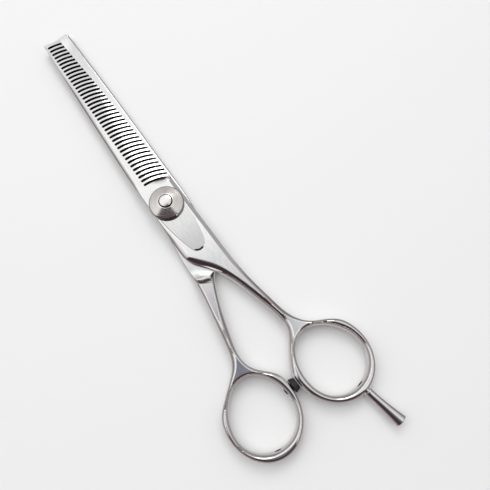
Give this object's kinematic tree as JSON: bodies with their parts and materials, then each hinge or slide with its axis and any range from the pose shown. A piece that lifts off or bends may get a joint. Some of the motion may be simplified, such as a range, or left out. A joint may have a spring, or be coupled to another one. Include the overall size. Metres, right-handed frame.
{
  "type": "thinning shears",
  "caption": "Hair thinning shears: a toothed blade over a plain blade on a dial-adjusted pivot, offset shanks, finger rings, rubber bumper and finger rest.",
  "frame": {"origin": "on the pivot axis, on the flat back face of the pivot screw's head, in the plane the shears lie on", "axes": "+X towards the blade tips, +Y towards the thumb ring, +Z along the pivot axis towards the tension dial"},
  "size_m": [0.1652, 0.0484, 0.0081],
  "materials": {
    "polished_steel": "mirror-polished stainless steel",
    "spun_steel": "turned and satin-spun stainless steel",
    "spring_steel": "rolled spring steel",
    "bronze": "turned bearing bronze",
    "bearing_plastic": "white PTFE sheet",
    "black_rubber": "matte moulded rubber"
  },
  "bodies": {
    "plain_half": {"plain_blade": "polished_steel", "thumb_handle": "polished_steel", "bumper": "black_rubber", "pivot_screw": "polished_steel", "friction_washer": "bearing_plastic", "thrust_washer": "spring_steel", "click_spring": "spring_steel"},
    "comb_half": {"comb_blade": "polished_steel", "finger_handle": "polished_steel", "finger_rest": "polished_steel", "pivot_bush": "bronze"},
    "dial": {"tension_dial": "spun_steel"}
  },
  "joints": [
    {"name": "blade_pivot", "type": "hinge", "parent": "plain_half", "child": "comb_half", "pos_m": [0, 0, 0.0027], "axis": [0, 0, 1], "range_deg": [0, 120]},
    {"name": "dial_turn", "type": "hinge", "parent": "plain_half", "child": "dial", "pos_m": [0, 0, 0.006], "axis": [0, 0, 1], "range_deg": [-90, 90]}
  ]
}
